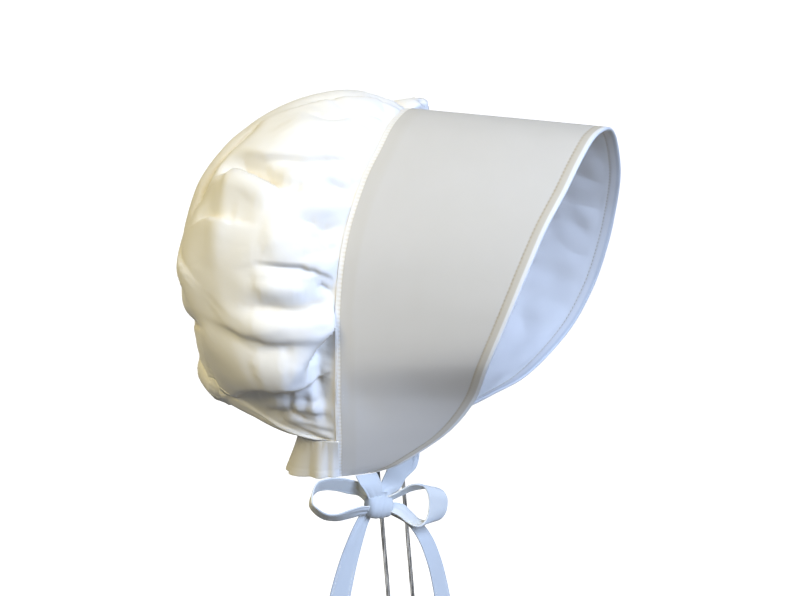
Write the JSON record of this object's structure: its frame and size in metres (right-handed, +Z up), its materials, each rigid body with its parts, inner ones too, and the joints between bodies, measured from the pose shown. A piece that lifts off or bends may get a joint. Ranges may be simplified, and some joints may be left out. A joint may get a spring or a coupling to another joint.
{
  "type": "prairie bonnet on a wire stand",
  "caption": "Soft cotton bonnet with a deep stiff brim, puffed gathered crown, neck frill and tied bow, hung on a plain bent-wire stand.",
  "frame": {"origin": "middle of the stand's base plate, on its underside", "axes": "+Z up, the wearer would face -Y, the wearer's right at -X"},
  "size_m": [0.2248, 0.3191, 0.5287],
  "materials": {
    "crown_cotton": "white cotton plain weave, matt",
    "brim_cotton": "white cotton over a stiffener, smooth and matt",
    "band_cotton": "white cotton, corded and stitched",
    "tie_cotton": "white cotton, stitched edges",
    "stand_steel": "bright drawn wire and plain plate"
  },
  "bodies": {
    "root": {"crown": "crown_cotton", "brim": "brim_cotton", "brim_band": "band_cotton", "curtain": "crown_cotton", "tie_right": "tie_cotton", "tie_left": "tie_cotton", "bow": "tie_cotton", "wire_stand": "stand_steel"}
  },
  "joints": []
}
